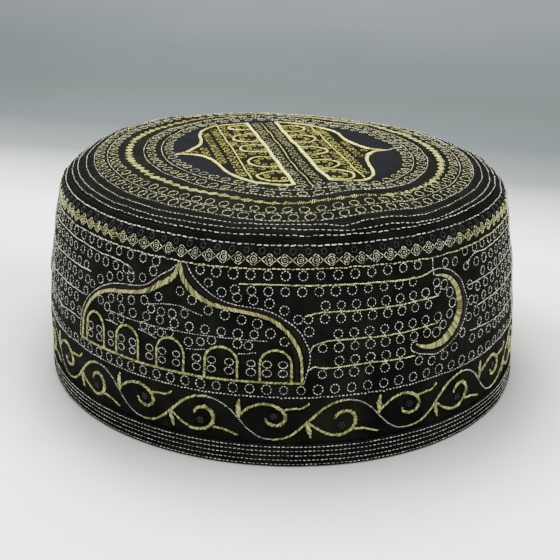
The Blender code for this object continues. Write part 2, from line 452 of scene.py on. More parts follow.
def evenTurns(up, pitch):
    # turns that stand evenly apart round the ring at that height, which is a function of the turn
    turn = np.linspace(-np.pi, np.pi, 2881)
    length = lengthAlong(bareCap(turn, up(turn)))
    count = int(round(length[-1] / pitch))
    at = np.interp(length[-1] * np.arange(count + 1) / count, length, turn)
    return at[:-1], at[1:]


def ringRow(up, pitch, fill, wander):
    # running stitches round the cap; each fills part of its pitch and may wander a little up or down
    start, end = evenTurns(up, pitch)
    shift = dice.uniform(0, 1) * (end - start)
    start, end = start + shift, end + shift
    slip = dice.normal(0, wander, (2, len(start)))
    lengths = fill * dice.uniform(0.85, 1.12, len(start))
    stop = start + (end - start) * np.minimum(lengths, 0.97)
    return np.stack([start, up(start) + slip[0], stop, up(stop) + slip[1]], axis=-1)


def curveThrough(points, step=0.25):
    # a smooth curve through given points, cut into equal short steps
    points = np.array(points, dtype=float)
    along = lengthAlong(points)
    fine = smoothThrough(np.linspace(0, along[-1], max(int(along[-1] / 0.1), 8)), along, points)
    length = lengthAlong(fine)
    return pointsAt(fine, length, np.linspace(0, length[-1], max(int(round(length[-1] / step)), 4)))


def resample(path, step=0.25):
    # a polyline cut into equal short steps, corners kept as they are
    length = lengthAlong(path)
    return pointsAt(path, length, np.linspace(0, length[-1], max(int(length[-1] / step), 3)))


def evenlyOn(path, pitch, start=0.5):
    # points evenly along a path, the first one half a pitch in, or another share of it
    length = lengthAlong(path)
    count = max(int(round(length[-1] / pitch)), 1)
    return pointsAt(path, length, length[-1] * (np.arange(count) + start) / count)


def dashesOn(path, pitch, fill, wander=0.04):
    # running stitches along a flat path: start and end of each, in the flat pattern's mm
    length = lengthAlong(path)
    count = max(int(round(length[-1] / pitch)), 1)
    start = length[-1] * np.arange(count) / count
    stop = start + length[-1] / count * fill * dice.uniform(0.85, 1.1, count)
    ends = np.concatenate([pointsAt(path, length, at) for at in (start, stop)], axis=-1)
    return ends + dice.normal(0, wander, ends.shape)


def halfWidths(widths, share):
    # half the widths, which are spread evenly along a path, at a share of its length
    return 0.5 * np.interp(share, np.linspace(0, 1, len(widths)), widths)


def satinOn(path, widths, pitch, slant=0.25, ragged=0.06):
    # satin stitches across a flat path: each runs from one edge to the other, a little slanted; widths are spread
    # evenly along the path
    length = lengthAlong(path)
    count = max(int(round(length[-1] / pitch)), 2)
    at = length[-1] * (np.arange(count) + 0.5) / count
    middle = pointsAt(path, length, at)
    tangent = pointsAt(np.gradient(path, length, axis=0), length, at)
    tangent /= np.linalg.norm(tangent, axis=-1, keepdims=True)
    across = np.stack([-tangent[:, 1], tangent[:, 0]], axis=-1)
    half = halfWidths(widths, at / length[-1])
    left, right = half * (1 + dice.normal(0, ragged, (2, count)))
    lean = tangent * (half * slant)[:, None]
    return np.concatenate([middle + across * left[:, None] + lean, middle - across * right[:, None] - lean], axis=-1)


def ringsAt(centres, radius, count=9, fill=0.80, squash=1.0):
    # small rings of running stitch round each centre, in flat mm: chords of a circle, with a short gap after each
    centres = np.atleast_2d(centres)
    turn = dice.uniform(0, 2 * np.pi, (len(centres), 1)) + 2 * np.pi * np.arange(count)[None, :] / count
    stop = turn + 2 * np.pi / count * fill * dice.uniform(0.9, 1.1, turn.shape)
    size = radius * (1 + dice.normal(0, 0.05, (len(centres), 1)))
    x, y = centres[:, :1], centres[:, 1:2]
    ends = [end for at in (turn, stop) for end in (x + size * np.cos(at), y + size * squash * np.sin(at))]
    return np.stack(ends, axis=-1).reshape(-1, 4)


def smallRings(centres, radius=1.5, fill=0.72, squash=1.0):
    # the rings of the band, of nine stitches each
    return ringsAt(centres, radius, 9, fill, squash)


def lay(parts, chart):
    # flat stitches carried onto the cap by its chart, as start turn, start up, end turn, end up
    flat = np.concatenate(parts)
    return np.concatenate([chart(flat[:, :2]), chart(flat[:, 2:])], axis=-1)


# one stitch is a spindle of four sides: a tip, two rings of four, a tip
spindle = np.array([(0, 1 + (k + 1) % 4, 1 + k) for k in range(4)]
                   + [(1 + k, 1 + (k + 1) % 4, 5 + (k + 1) % 4) for k in range(4)]
                   + [(1 + k, 5 + (k + 1) % 4, 5 + k) for k in range(4)]
                   + [(9, 5 + k, 5 + (k + 1) % 4) for k in range(4)])
# where along the stitch its two rings stand, how high their flanks are against their top, how deep it sinks in mm
spindleForm = {"shoulders": (0.16, 0.84), "flank": 0.35, "sunk": 0.12}
threadPieces = []


def sewOn(name, kind, stitches, width, height, bow=0.0):
    # every stitch of a piece at once: its tips sink into the cloth and its two rings stand on it, flattened as
    # thread is; bow lifts the middle of a long satin stitch over its padding
    a, normalA = surface(stitches[:, 0], stitches[:, 1])
    b, normalB = surface(stitches[:, 2], stitches[:, 3])
    normal = normalA + normalB
    normal /= np.linalg.norm(normal, axis=-1, keepdims=True)
    along = b - a
    length = np.linalg.norm(along, axis=-1, keepdims=True)
    side = np.cross(normal, along)
    side /= np.maximum(np.linalg.norm(side, axis=-1, keepdims=True), 1e-9)
    count = len(a)
    w = width * 0.5 * dice.uniform(0.9, 1.1, (count, 1))
    h = height * dice.uniform(0.9, 1.1, (count, 1)) + bow * length
    low, flank = normal * spindleForm["sunk"], normal * h * spindleForm["flank"]
    corners = [a - low]
    for share in spindleForm["shoulders"]:
        spot = a + along * share
        corners += [spot + side * w + flank, spot + normal * h, spot - side * w + flank, spot - low]
    points = np.stack(corners + [b - low], axis=1).reshape(-1, 3)
    faces = (spindle[None] + 10 * np.arange(count)[:, None, None]).reshape(-1, 3)
    reach = length * np.repeat([0.0, *spindleForm["shoulders"], 1.0], (1, 4, 4, 1))
    girth = np.tile(np.array([0, 0, 0.3, 0.6, 0.9, 0, 0.3, 0.6, 0.9, 0]), (count, 1))
    uv = np.stack([reach + dice.uniform(0, 5, (count, 1)), girth], axis=-1).reshape(-1, 2)
    shade = np.repeat(np.clip(dice.normal(0.5, 0.2, count), 0, 1), 10)
    threadPieces.append(makeMesh(name, points, faces, thread[kind], uv, shade))


# Rows of running stitch, sewn by hand and so not quite level: knots of mm along the mouth from the front's middle and
# mm up the profile, the pitch of their stitches and how far these wander.
runningRows = {
    "hemPitch": 1.45, "hemFill": 0.78,
    "lower": ([(-150, 25.2), (-125, 25.6), (-100, 25.2), (40, 25.2), (60, 25.6), (90, 25.3)], 1.25),
    "upper": ([(-60, 67.2), (-15, 67.7), (0, 67.5), (20, 66.9), (60, 66.8), (120, 67.2)], 1.5),
    "shoulder": ([(-90, 75.1), (0, 75.2), (90, 75.1)], 2.1),
    "outer": [
        ([(-110, 78), (-60, 78.2), (-37, 78.8), (-25, 78.5), (-8, 77.8), (15, 77.9), (40, 78.4), (80, 78.2),
         (150, 78.6), (240, 78.7)], 2.1, 0.12),
        ([(-110, 79.9), (-70, 80.2), (-55, 80.8), (-40, 81.6), (-30, 81.4), (-20, 80.6), (-13, 79.4), (-5, 79.2),
         (4, 79.7), (10, 79.4), (17, 78.9), (30, 79.2), (42, 79.8), (55, 80.1), (90, 80.3), (150, 80.4), (240, 80.6)],
         1.9, 0.07),
        ([(-110, 82.8), (-70, 82.9), (-50, 83.6), (-38, 84), (-25, 83.9), (-19, 83.1), (-13, 81.6), (-4, 82.5),
         (5, 82.7), (14, 82), (20, 81.9), (30, 82.5), (42, 83), (90, 83.1), (150, 83.2), (240, 83.8)], 1.7, 0.07),
        ([(-110, 86.1), (-50, 86.2), (-5, 85.9), (50, 86.2), (150, 86.3), (240, 86.2)], 1.5, 0.06),
    ],
    "inner": [
        ([(-110, 91.3), (0, 91), (100, 91.3), (240, 91.2)], 1.5, 0.05),
        ([(-110, 105), (-60, 105.4), (-20, 105.3), (10, 104.5), (40, 102.6), (60, 103), (100, 103.3), (150, 103.6),
         (240, 105)], 1.5, 0.05),
        ([(-110, 111.8), (-20, 112), (15, 110.5), (45, 108.4), (100, 108.6), (150, 109), (240, 111.6)], 1.5, 0.05),
    ],
}


def rowThrough(knots):
    # a closed row through its knots, as a function of the turn
    knots = np.array(knots, dtype=float)
    closed = np.vstack([knots, knots[:1] + (mouthRound, 0.0)])

    def up(turn):
        along = np.interp((turn + np.pi) % (2 * np.pi) - np.pi, aroundTurn, aroundLength)
        return smoothThrough((along - knots[0, 0]) % mouthRound + knots[0, 0], closed[:, 0], closed[:, 1:])[..., 0]
    return up


def rowsOf(key, fill):
    return np.vstack([ringRow(rowThrough(knots), pitch, fill, wander) for knots, pitch, wander in runningRows[key]])


def level(up):
    return lambda turn: up + 0.0 * turn


def namedRow(key, fill, wander):
    knots, pitch = runningRows[key]
    return ringRow(rowThrough(knots), pitch, fill, wander)


hemRows = [ringRow(level(up), runningRows["hemPitch"], runningRows["hemFill"], 0.05) for up in quilting["hemRows"]]
sewOn("hem_running_stitch", "silverRayon", np.vstack(hemRows), 0.23, 0.18)
bandRows = [namedRow("lower", 0.66, 0.10), namedRow("shoulder", 0.86, 0.10)]
sewOn("band_running_stitch", "silverRayon", np.vstack(bandRows), 0.32, 0.23)
sewOn("crown_outer_running_stitch", "silverRayon", rowsOf("outer", 0.80), 0.20, 0.15)
sewOn("crown_inner_running_stitch", "creamRayon", rowsOf("inner", 0.86), 0.22, 0.16)

# The chain of small diamonds round the shoulder, each with a ring and a curl in it, and the grey loops above.
chain = {"count": 113, "up": 70.5, "halfTall": 2.1, "halfWide": 2.55, "ring": 1.15, "curl": 0.42, "loopUp": 73.3,
         "paleFrom": -95.0, "paleTo": 34.0}    # paler at the front, golder round the sides and back


def roundTheMouth(count, up, shift):
    # evenly spread centres of small shapes in the flat pattern, at one height
    return np.stack([mouthRound * np.arange(count) / count - mouthRound / 2 + shift, np.full(count, up)], axis=-1)


chainCentres = roundTheMouth(chain["count"], chain["up"], 0.5)
tall, wide = chain["halfTall"], chain["halfWide"]
corners = np.array([(wide, 0), (0, tall), (-wide, 0), (0, -tall), (wide, 0)])
outline = np.concatenate([dashesOn(corners[k:k + 2], 1.6, 0.94, 0.0) for k in range(4)])
outline = (outline[None] + np.tile(chainCentres, 2)[:, None, :]).reshape(-1, 4)
outline += dice.normal(0, 0.05, outline.shape)
links = np.vstack([outline, ringsAt(chainCentres, chain["ring"], 7, 0.97),
                   ringsAt(chainCentres + (0.1, 0.0), chain["curl"], 4, 0.8)])
pale = (links[:, 0] > chain["paleFrom"]) & (links[:, 0] < chain["paleTo"])
sewOn("shoulder_diamond_chain", "creamRayon", lay([links[pale]], onBand), 0.19, 0.16)
sewOn("shoulder_gold_diamonds", "paleGoldRayon", lay([links[~pale]], onBand), 0.21, 0.17)
loopCentres = chainCentres + (mouthRound / chain["count"] / 2, chain["loopUp"] - chain["up"])
sewOn("shoulder_grey_loops", "smokeRayon", lay([ringsAt(loopCentres, 0.95, 6, 0.85, 1.1)], onBand), 0.34, 0.22)
print("rows round the cap sewn")

# The band's pattern repeats three times: an onion dome over five arches, then a crescent. Distances are mm along
# the mouth and up the profile, the dome's from its point and the crescent's from the middle of its back.
repeats = {"count": 3, "domeAt": -69.5, "crescentAt": 25.0}
repeatLength = mouthRound / repeats["count"]

dome = {
    "right": [
        (0.2, 66.6), (1.2, 62.9), (3.8, 59.4), (7.4, 56.9), (11.6, 55.1), (16.6, 54.1), (22.4, 53.3), (28.1, 52.4),
        (32.4, 51.1), (35.9, 48.9), (38.8, 46.1), (40.9, 42.9), (42.3, 39.5), (42.9, 35), (43, 30),
    ],
    "left": [
        (-0.3, 66.6), (-1.2, 63), (-3.8, 60.4), (-7.2, 58.4), (-11, 55.9), (-15.5, 54.1), (-20.5, 53), (-25.5, 52),
        (-30.5, 50.9), (-34.5, 49.3), (-38.2, 46.9), (-41.2, 43.9), (-43.4, 40.5), (-44.7, 36.5), (-45.4, 30),
    ],
    "widths": [0.8, 1.9, 2.1, 1.9, 1.6, 1.35, 1.25, 1.3, 1.35, 1.4, 1.35, 1.2, 1.05, 0.95, 0.9],
    "rightEdge": [
        (0.6, 67.2), (2.4, 66.9), (4.1, 64.6), (6.6, 62.1), (9.5, 59.8), (12.4, 58), (15.2, 56.7), (19.5, 55.5),
        (24, 54.9), (28.8, 54.5), (31.6, 53.8), (34.5, 52.6), (37.4, 50.9), (40.3, 48.9), (42.6, 46.4), (44.1, 43.5),
        (45.3, 40.5), (45.5, 37.5), (44.8, 34), (43.6, 29.8),
    ],
    "leftEdge": [
        (-1.2, 65.8), (-2.8, 64.2), (-6, 62.2), (-10, 59.2), (-12.7, 57.2), (-16.5, 56), (-21, 55.3), (-25.5, 54.6),
        (-29.5, 53.6), (-33, 52.2), (-36.5, 50.2), (-39.7, 47.9), (-42.8, 44.9), (-45, 41.6), (-46.5, 38),
        (-47.2, 34), (-47, 29.6),
    ],
    "rightInner": [(37.6, 45.6), (39.6, 43), (40.9, 39.5), (41.4, 35), (41.5, 30.6)],
    "leftInner": [(-40.6, 42.6), (-42.2, 39.6), (-43.2, 36), (-43.8, 30.6)],
    "arches": [(-36.8, 5), (-20, 5.2), (-1.8, 5.2), (16.5, 5.5), (34.5, 5.1)],   # middle, half width
    "insideRings": [
        (-28, 42.2), (-23.3, 42.9), (-12.9, 43), (-9.3, 42.2), (-5.7, 42.2), (-2.2, 43), (5.2, 41.1), (9.4, 41.8),
        (13.2, 42.7), (21.9, 42.4), (25.5, 42.1), (37.2, 43.9), (-34.5, 46.6), (-23.2, 46.4), (-17.8, 46.3),
        (-12, 46.4), (-6.3, 46.4), (-0.6, 46.3), (5.2, 46.2), (10.8, 46.1), (16.4, 46), (21.9, 45.8), (27.3, 45.9),
        (32.6, 46.5), (-29, 48.6), (-30.6, 45.2), (-10.2, 49.4), (-6.1, 49.1), (-1.7, 49.3), (3, 50.2), (0.8, 57.3),
        (5.5, 55.2), (11.5, 52.5), (17.3, 51.6), (23, 50.5), (28.2, 49.5), (-7.5, 54), (-13.3, 51.7), (-18.8, 50.5),
        (-24.4, 49.9),
    ],
    "pairUp": (36.0, 33.0),    # the two heights of the rings in and beside the arches
    "pairAt": ((-1, -2.9), (-1, 2.3), (1, -2.7)),    # which leg of the arch, and how far to its right
    "outsideRings": (2.5, 5.35, 44.5, 64.3),         # how far outside the white edge, pitch, lowest and highest
    "archTop": 41.2, "archSpring": 36.2, "base": 29.8, "baseFrom": -46.2, "baseTo": 43.8,
    # dotted lines inside, with pitch and fill: four join the arches' tops, two lie above them
    "dotted": [
        ([(-31.3, 40.4), (-28, 40.7), (-24.6, 40.3)], 0.95, 0.7),
        ([(-15, 41.3), (-11.5, 40.9), (-7, 39.8)], 0.95, 0.7),
        ([(4.4, 38.7), (8, 38.9), (11.4, 39.4)], 0.95, 0.7),
        ([(22.2, 39.1), (25, 39.3), (28.4, 40)], 0.95, 0.7),
        ([(-29, 44.2), (-10, 43.8), (10, 44.1), (32, 43.9)], 0.95, 0.65),
        ([(-11.6, 50.9), (-9, 51.3), (-5, 52), (-1, 52.4), (3, 52.1), (6.5, 51.2), (9.8, 50.4)], 1.0, 0.7),
    ],
}

crescent = {
    "middle": [
        (-4, 60.8), (0, 59.9), (3.4, 57.9), (6, 54.6), (7.3, 50.5), (7.3, 46.7), (5.7, 42.9), (2.6, 39.6),
        (-1.3, 37.2), (-5.4, 36.6), (-9.4, 37.3), (-12.2, 38.7),
    ],
    "widths": [0.5, 1.1, 1.8, 2.4, 3, 3.4, 3.5, 3.5, 3.1, 2.4, 1.6, 0.6],
    "edge": [
        (-5.6, 62.5), (-2, 62.7), (1.5, 61.8), (5, 60), (8, 57.5), (10.3, 54), (11.4, 50), (11.4, 46), (10.1, 42),
        (7.2, 38.6), (4, 36.3), (0, 34.4), (-4.5, 33.4), (-8, 34.3), (-11.5, 35.4), (-14.2, 37.3), (-14, 39.3),
        (-11.4, 39.7),
    ],
    "insideRings": [(-3.4, 58.1), (0.2, 56.7), (2.7, 53.5), (3.8, 49.6), (2.3, 46.1), (-0.7, 43), (-3.7, 41)],
    "outsideRings": [
        (1, 64), (6, 63.3), (12.4, 60.3), (14, 53.2), (14, 47.8), (12.6, 42.1), (9.2, 37.4), (4.6, 33.6), (0, 31.8),
        (-5.5, 31.3), (-11, 32.7),
    ],
    "thrown": [(-5.0, 67.1), (-5.1, 64.0), (-4.6, 60.9)],     # the thread that runs up to the row above
    "maroonWidths": [0.6, 1.3, 1.7, 1.7, 1.4, 1.2, 0.6],
}

# lines of the field between the motifs: along the mouth from the dome's own repeat, and up the profile
fieldLines = [
    [(-48, 62.3), (-42, 62.5), (-20, 62.3), (0, 61.9), (12, 61.4), (16, 61.6), (19.3, 62.6)],
    [(-25.5, 52.4), (-22, 53.2), (-10, 53.4), (10, 53.4), (22.5, 53.6)],
    [(-24, 40.6), (-23, 42.3), (-21.3, 43.2), (-19, 43.8), (-10, 44), (5, 43.7), (22, 44.2)],
    [(-24.2, 34.4), (-22.4, 35.3), (-20.4, 34.9), (-10, 35), (0, 35), (12.6, 34.8)],
    [(37.5, 60.6), (40, 62.7), (50, 63), (65, 63.2), (85, 62.6), (102, 62), (105, 61.4), (107, 59.2)],
    [(38, 53.3), (60, 53.9), (84, 54.7)],
    [(40.5, 44.9), (60, 45.1), (80, 45.6)],
    [(38.5, 36.7), (44, 36.5), (50, 36), (62, 35.5), (70, 36), (78, 35.6)],
]
cordCount = 4     # the first ones are thick cords, the others paler running stitches
# rows of small rings in the field: from and to along the mouth, height, how many; the last seven are right of the
# crescent
fieldRings = [
    (-49.2, 11.7, 60.3, 12), (-19.3, 22, 55.6, 9), (-24.8, 18, 51.3, 9), (-15, 22, 46.2, 8), (-20, 17.3, 41.6, 8),
    (-14.5, 12.2, 37, 6), (-20, 6.5, 32.6, 6), (43.5, 102.9, 60.3, 12), (47.5, 80, 56, 7), (43.7, 82, 51.4, 8),
    (41.8, 80, 47.3, 8), (42, 79.6, 42.8, 8), (44.4, 77, 38.5, 7), (40, 77.6, 33.6, 8),
]
field = {
    "fullRows": ((101, 65.5, 5.0), (106, 27.35, 0.8)),        # top and foot: how many rings, height, shift
    "joined": ((55.6, 51.3), (46.2, 41.6), (37.0, 32.6)),     # the rows above and below each cord
    "fromLine": 1.9, "fromRing": 2.4, "joinedWithin": 2.2,    # mm
}


def moved(points, along):
    return np.array(points, dtype=float) + (along, 0.0)


def gapTo(points, line):
    # shortest distance from each point to a polyline
    a, b = line[:-1], line[1:]
    ab = b - a
    t = np.clip(((points[:, None] - a) * ab).sum(-1) / np.maximum((ab**2).sum(-1), 1e-9), 0, 1)
    return np.linalg.norm(points[:, None] - a - ab * t[..., None], axis=-1).min(axis=1)


def insideOf(points, line):
    # even-odd count of the polygon's edges that a ray along +x crosses
    a, b = line, np.roll(line, -1, axis=0)
    y = points[:, None, 1]
    crosses = (a[:, 1] > y) != (b[:, 1] > y)
    x = a[:, 0] + (y - a[:, 1]) / np.where(b[:, 1] == a[:, 1], 1e-9, b[:, 1] - a[:, 1]) * (b[:, 0] - a[:, 0])
    return (crosses & (points[:, None, 0] < x)).sum(axis=1) % 2 == 1


def apart(points, others, least):
    # those points that stand at least that far from all the others
    return points[np.linalg.norm(points[:, None] - others[None], axis=-1).min(axis=1) > least]


def archPath(middle, half, spring, top, base):
    # two straight legs joined by half an ellipse
    turn = np.linspace(np.pi, 0, 17)
    arc = np.stack([middle + half * np.cos(turn), spring + (top - spring) * np.sin(turn)], axis=-1)
    return np.vstack([[(middle - half, base)], arc, [(middle + half, base)]])


def besides(path, offset):
    # the path moved to its left by the offset
    step = np.gradient(path, axis=0)
    step /= np.maximum(np.linalg.norm(step, axis=1, keepdims=True), 1e-9)
    return path + np.stack([-step[:, 1], step[:, 0]], axis=-1) * offset


def maroonBetween(inner, edge, shares):
    # satin on the line between the gold and the white edge, as wide as the room there
    inner, edge = (line[(shares * (len(line) - 1)).astype(int)] for line in (inner, edge))
    room = np.linalg.norm(inner - edge, axis=1)
    return satinOn(inner * 0.42 + edge * 0.58, np.clip(room - 1.2, 0.4, 1.6)[::10], 0.42, 0.2)


def domeStitches(at):
    # satin from the point down both sides, a maroon strip outside it, a white edge outside that, and arches on a base
    line = {side + part: curveThrough(moved(dome[side + part], at))
            for side in ("right", "left") for part in ("", "Edge", "Inner")}
    gold = [satinOn(line["right"], dome["widths"], 0.52, -1.4, 0.14),
            satinOn(line["left"], dome["widths"], 0.52, 1.4, 0.14)]
    maroon = [maroonBetween(line["right"], line["rightEdge"], np.linspace(0, 0.84, 200)),
              maroonBetween(line["left"], line["leftEdge"], np.linspace(0.02, 0.86, 200))]
    maroon += [satinOn(line[key], [0.5, 1.3, 1.4, 1.3], 0.42, 0.2) for key in ("rightInner", "leftInner")]
    silver = [dashesOn(line["rightEdge"], 1.25, 0.80), dashesOn(line["leftEdge"], 1.1, 0.85)]
    tops = dome["archTop"] + dice.normal(0, 0.2, len(dome["arches"]))
    arches = [resample(archPath(at + middle, half, dome["archSpring"], top, dome["base"]))
              for (middle, half), top in zip(dome["arches"], tops)]
    base = resample(np.array([(at + dome["baseFrom"], dome["base"]), (at + dome["baseTo"], dome["base"])]))
    gold += [satinOn(path, [0.85], 0.50, 0.8, 0.15) for path in arches] + [satinOn(base, [0.80], 0.50, 0.8, 0.15)]
    silver += [dashesOn(curveThrough(moved(points, at)), pitch, fill) for points, pitch, fill in dome["dotted"]]
    pairs = [(middle + k * half + shift, up) for middle, half in dome["arches"]
             for k, shift in dome["pairAt"] for up in dome["pairUp"]]
    pairs = [pair for pair in pairs if pair[0] > dome["arches"][0][0] - 4.9]     # none left of the first arch
    small = [smallRings(moved(dome["insideRings"], at)), smallRings(moved(pairs, at), fill=0.82, squash=0.8)]
    # rings that follow the outside of the white edge
    closed = np.vstack([line["leftEdge"][::-1], line["rightEdge"]])
    offset, pitch, lowest, highest = dome["outsideRings"]
    outside = evenlyOn(besides(closed, offset), pitch)
    outside = outside[(outside[:, 1] < highest) & (outside[:, 1] > lowest)]
    return gold, silver, maroon, small + [smallRings(outside)], closed, outside


def crescentStitches(at):
    # satin that swells in the middle, a maroon strip along its back, and a white edge with a thread to the row above
    middle, edge, thrown = (curveThrough(moved(crescent[key], at)) for key in ("middle", "edge", "thrown"))
    gold = [satinOn(middle, crescent["widths"], 0.34, 0.15)]
    back = besides(middle, (halfWidths(crescent["widths"], np.linspace(0, 1, len(middle))) + 0.95)[:, None])
    maroon = [satinOn(back[12:-16], crescent["maroonWidths"], 0.42, 0.2)]
    silver = [dashesOn(edge, 1.15, 0.78), dashesOn(thrown, 1.6, 0.95, 0.02)]
    outside, inside = moved(crescent["outsideRings"], at), moved(crescent["insideRings"], at)
    small = [smallRings(inside, 1.6, 0.82), smallRings(outside)]
    return gold, silver, maroon, small, np.vstack([thrown, edge]), np.vstack([outside, inside])


def bandPattern():
    gold, silver, maroon, small, outlines, taken, lines, spots = [], [], [], [], [], [], [], []
    shifts = repeatLength * np.arange(repeats["count"])
    aroundToo = [(j * mouthRound, 0.0) for j in (-1, 0, 1)]   # what lies over the pattern's two ends counts there too
    for shift in shifts:
        for part in (domeStitches(repeats["domeAt"] + shift), crescentStitches(repeats["crescentAt"] + shift)):
            for store, new in zip((gold, silver, maroon, small), part[:4]):
                store += new
            outlines.append(part[4])
            taken.append(part[5])
        lines += [(k < cordCount, curveThrough(moved(line, shift))) for k, line in enumerate(fieldLines)]
    taken = np.vstack(taken)
    # rows of rings beside the lines of the field, and full rows at the top and the bottom, wherever there is room
    for first, last, up, count in fieldRings:
        row = np.stack([np.linspace(first, last, count), np.full(count, up)], axis=-1)
        spots += [row + (shift, 0.0) for shift in shifts]
    top, foot = (roundTheMouth(*row) for row in field["fullRows"])
    spots = np.vstack(spots + [top])
    small.append(smallRings(foot, squash=1.1))
    for k, line in enumerate(outlines):
        for move in aroundToo:
            spots = spots[gapTo(spots, line + move) > field["fromLine"]]
            spots = spots[~insideOf(spots, line + move)] if k % 2 == 0 else spots
    spots = apart(spots, np.vstack([taken + move for move in aroundToo]), field["fromRing"])
    small.append(smallRings(spots))
    # each two rings on both sides of a cord are joined across it by a short slanting stitch
    for over, under in field["joined"]:
        high, low = spots[spots[:, 1] == over], spots[spots[:, 1] == under]
        near = low[np.abs(high[:, None, 0] - low[None, :, 0]).argmin(axis=1)]
        close = np.abs(high[:, 0] - near[:, 0]) < field["joinedWithin"]
        small.append(np.concatenate([high[close] + (-0.35, -1.5), near[close] + (0.3, 1.5)], axis=1))
    cords = [satinOn(line, [0.36], 0.8, 2.4, 0.4) for isCord, line in lines if isCord]
    paleLines = [dashesOn(line, 1.3, 0.93, 0.08) for isCord, line in lines if not isCord]
    return [lay(part, onBand) for part in (gold, silver, maroon, small, cords, paleLines)]


bandGold, bandSilver, bandMaroon, bandRings, cords, paleLines = bandPattern()
sewOn("dome_and_crescent_satin", "goldFoil", bandGold, 0.38, 0.28, 0.06)
sewOn("dome_and_crescent_edges", "silverRayon", bandSilver, 0.27, 0.21)
sewOn("dome_and_crescent_maroon", "maroonRayon", bandMaroon, 0.55, 0.22)
sewOn("band_small_rings", "silverRayon", bandRings, 0.26, 0.15)
upperRow = namedRow("upper", 0.97, 0.12)
domeTurn = turnAt(repeats["domeAt"])
paleStretch = 1.3     # radians of the upper row, left of the front dome, that are sewn in the paler thread
leftOfDome = (upperRow[:, 0] < domeTurn) & (upperRow[:, 0] > domeTurn - paleStretch)
sewOn("field_cords", "paleGoldRayon", np.vstack([cords, upperRow[~leftOfDome]]), 0.36, 0.26)
sewOn("field_pale_lines", "creamRayon", np.vstack([paleLines, upperRow[leftOfDome]]), 0.34, 0.24)
print("domes, crescents and field sewn")

# The scroll round the band's foot: one wave with a curl above and a curl below. Along and up, from the wave's crest.
scroll = {
    "crests": [-104.2, -58.2, -11.6, 34.2],     # those at the front; the rest stand evenly round the back
    "backCount": 9, "length": 46.1,
    "fall": [(0, 23.3), (3.5, 22.6), (7.5, 20.2), (11.1, 16.2), (14.5, 12.6), (18, 10.3), (21.8, 9.6)],
    "climb": [(21.8, 9.6), (26.5, 10.7), (31, 13.8), (34.6, 17.2), (38.2, 20.4), (42.2, 22.6), (46.1, 23.3)],
    "upperCurl": [
        (11, 17.3), (12.8, 19.4), (16.4, 21.6), (20.4, 22.3), (23.6, 21.3), (25.8, 19.2), (26.1, 16.9), (24.4, 15.1),
        (22, 14.8), (20.2, 15.7), (19.7, 17.2),
    ],
    "upperTail": [(25.4, 20.4), (28.8, 20.8), (31.4, 21), (33.8, 22.5)],
    "upperBud": [(10.9, 17), (11, 20), (11.4, 23.5)],
    "lowerCurl": [
        (33.6, 15.6), (35.6, 13.9), (38.6, 12), (42.2, 10.9), (45.6, 11.5), (48, 13.5), (48.8, 16.1), (47.8, 18.5),
        (45.4, 19.4), (43.2, 18.5), (41.9, 16.8),
    ],
    "lowerTail": [(48.4, 12.6), (51.5, 12.3), (54.4, 11.4), (56.8, 10.5)],
    "lowerBud": [(33.4, 15.8), (33.5, 13.4), (34.2, 10.3)],
    "dots": [(22.4, 18.0), (44.2, 14.3)],
    # widths along each part, pitch and slant of its stitches, how ragged they are
    "satin": {
        "climb": ([0.5, 0.8, 0.95, 0.9, 0.7], 0.46, 1.0, 0.2),
        "upperCurl": ([0.7, 0.9, 1.05, 1.2, 1.3, 1.2, 1.0], 0.44, 0.8, 0.2),
        "lowerCurl": ([0.7, 0.9, 1.05, 1.2, 1.35, 1.25, 1.05], 0.44, 0.8, 0.2),
        "upperTail": ([0.8, 0.75, 0.65, 0.75], 0.48, 1.0, 0.2),
        "lowerTail": ([0.8, 0.75, 0.65, 0.75], 0.48, 1.0, 0.2),
        "upperBud": ([0.7, 1.6, 1.9, 1.3, 0.4], 0.42, 0.9, 0.14),
        "lowerBud": ([0.7, 1.5, 1.8, 1.2, 0.4], 0.42, 0.9, 0.14),
    },
}


def scrollPattern():
    crests = scroll["crests"]
    gap = (mouthRound - (crests[-1] - crests[0])) / (scroll["backCount"] + 1)
    starts = crests + [crests[-1] + gap * (k + 1) for k in range(scroll["backCount"])]
    gold, silver, dots = [], [], []
    for start, end in zip(starts, starts[1:] + [starts[0] + mouthRound]):
        def placed(points):
            return np.array(points) * ((end - start) / scroll["length"], 1.0) + (start, 0.0)
        silver.append(satinOn(curveThrough(placed(scroll["fall"]), 0.2), [0.6, 0.5, 0.45, 0.45], 0.78, 1.3, 0.2))
        gold += [satinOn(curveThrough(placed(scroll[key]), 0.2), *how) for key, how in scroll["satin"].items()]
        spots = placed(scroll["dots"])
        dots += [ringsAt(spots, 1.05, 6, 0.85), ringsAt(spots, 0.45, 3, 0.8)]
    return [lay(part, onBand) for part in (gold, silver, dots)]


scrollGold, scrollSilver, scrollDots = scrollPattern()
sewOn("scroll_gold", "goldFoil", scrollGold, 0.38, 0.28, 0.05)
sewOn("scroll_silver", "silverRayon", scrollSilver, 0.24, 0.18)
sewOn("scroll_grey_dots", "smokeRayon", scrollDots, 0.34, 0.22)
print("scroll sewn")

